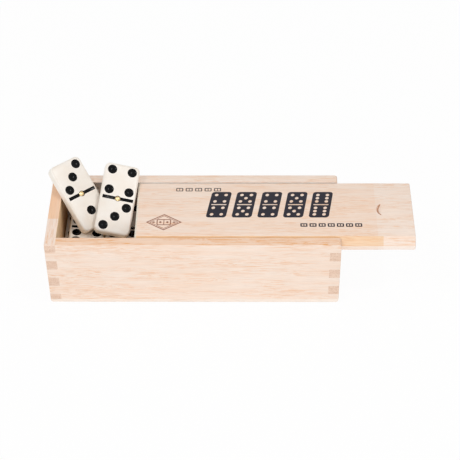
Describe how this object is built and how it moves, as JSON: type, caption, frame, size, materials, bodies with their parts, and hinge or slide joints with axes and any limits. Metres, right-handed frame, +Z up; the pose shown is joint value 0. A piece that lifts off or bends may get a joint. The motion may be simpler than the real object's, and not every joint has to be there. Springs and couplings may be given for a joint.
{
  "type": "domino storage box",
  "caption": "Finger-jointed wooden case with a sliding bevelled lid, holding a double-six set of ivory domino tiles with brass spinners.",
  "frame": {"origin": "centre of the underside of the case's bottom board", "axes": "+X the way the lid slides open, +Y from the front side towards the back side, +Z up"},
  "size_m": [0.2523, 0.0744, 0.074],
  "materials": {
    "case_wood": "satin",
    "base_wood": "satin",
    "lid_wood": "satin",
    "tile": "gloss",
    "spinner_brass": "polished"
  },
  "bodies": {
    "case": {"bottom_board": "base_wood", "front_side": "case_wood", "back_side": "case_wood", "left_end": "case_wood", "right_end": "case_wood", "tile_0_0": "tile", "tile_1_0": "tile", "tile_1_1": "tile", "tile_2_0": "tile", "tile_2_1": "tile", "tile_2_2": "tile", "tile_3_0": "tile", "tile_3_2": "tile", "tile_3_3": "tile", "tile_4_0": "tile", "tile_4_1": "tile", "tile_4_2": "tile", "tile_4_4": "tile", "tile_5_0": "tile", "tile_5_1": "tile", "tile_5_2": "tile", "tile_5_3": "tile", "tile_5_4": "tile", "tile_5_5": "tile", "tile_6_0": "tile", "tile_6_1": "tile", "tile_6_2": "tile", "tile_6_3": "tile", "tile_6_4": "tile", "tile_6_5": "tile", "tile_6_6": "tile", "stored_spinners": "spinner_brass"},
    "lid": {"lid": "lid_wood"},
    "left_tile": {"tile_3_1": "tile", "spinner_3_1": "spinner_brass"},
    "right_tile": {"tile_4_3": "tile", "spinner_4_3": "spinner_brass"}
  },
  "joints": [
    {"name": "lid_slide", "type": "slide", "parent": "case", "child": "lid", "axis": [1, 0, 0], "range_m": [0, 0.14]},
    {"name": "left_tile_lift", "type": "slide", "parent": "case", "child": "left_tile", "axis": [-0.4965, 0.6045, 0.623], "range_m": [0, 0.08]},
    {"name": "right_tile_lift", "type": "slide", "parent": "case", "child": "right_tile", "axis": [0.1306, 0.8736, 0.4688], "range_m": [0, 0.08]}
  ]
}
